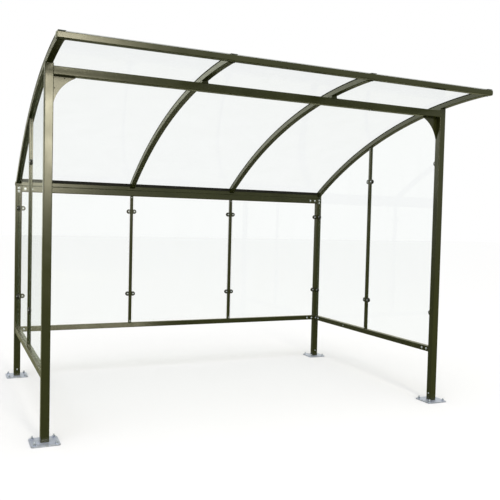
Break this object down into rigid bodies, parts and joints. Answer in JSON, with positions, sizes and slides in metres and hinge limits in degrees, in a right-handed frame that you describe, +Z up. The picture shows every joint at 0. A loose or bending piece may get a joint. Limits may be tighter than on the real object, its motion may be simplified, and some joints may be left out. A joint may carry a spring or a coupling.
{
  "type": "bike shelter",
  "caption": "Open-fronted cycle shelter: painted square-tube frame on bolted feet, clear barrel-curved roof over the front, clear clamped panes on back and sides.",
  "frame": {"origin": "on the ground, at the middle of the bounding box", "axes": "+X along the shelter, +Y towards the back wall, +Z up"},
  "size_m": [3.62, 2.857, 2.7344],
  "materials": {
    "painted_steel": "semi-gloss olive powder coat",
    "galvanised": "hot-dip galvanised, matt spangle",
    "roof_sheet": "clear polycarbonate sheet",
    "wall_pane": "clear toughened glass",
    "clamp": "black coated cast clamps",
    "end_cap": "moulded olive end caps",
    "filler": "black foam profile"
  },
  "bodies": {
    "root": {"front_left_foot": "galvanised", "front_right_foot": "galvanised", "back_left_foot": "galvanised", "back_right_foot": "galvanised", "front_left_post": "painted_steel", "front_right_post": "painted_steel", "back_left_post": "painted_steel", "back_right_post": "painted_steel", "front_beam": "painted_steel", "left_gusset": "painted_steel", "right_gusset": "painted_steel", "eaves_beam": "painted_steel", "back_bottom_rail": "painted_steel", "left_bottom_rail": "painted_steel", "right_bottom_rail": "painted_steel", "back_left_mullion": "painted_steel", "back_right_mullion": "painted_steel", "left_mullion": "painted_steel", "right_mullion": "painted_steel", "left_end_rib": "painted_steel", "inner_left_rib": "painted_steel", "inner_right_rib": "painted_steel", "right_end_rib": "painted_steel", "rib_saddles": "painted_steel", "front_rail": "painted_steel", "rear_rail": "painted_steel", "front_rail_caps": "end_cap", "rear_rail_caps": "end_cap", "eaves_fillers": "filler", "left_roof_sheet": "roof_sheet", "middle_roof_sheet": "roof_sheet", "right_roof_sheet": "roof_sheet", "left_end_cover": "painted_steel", "inner_left_cover": "painted_steel", "inner_right_cover": "painted_steel", "right_end_cover": "painted_steel", "back_left_pane": "wall_pane", "back_middle_pane": "wall_pane", "back_right_pane": "wall_pane", "left_front_pane": "wall_pane", "left_back_pane": "wall_pane", "right_front_pane": "wall_pane", "right_back_pane": "wall_pane", "back_clamps": "clamp", "side_clamps": "clamp"}
  },
  "joints": []
}
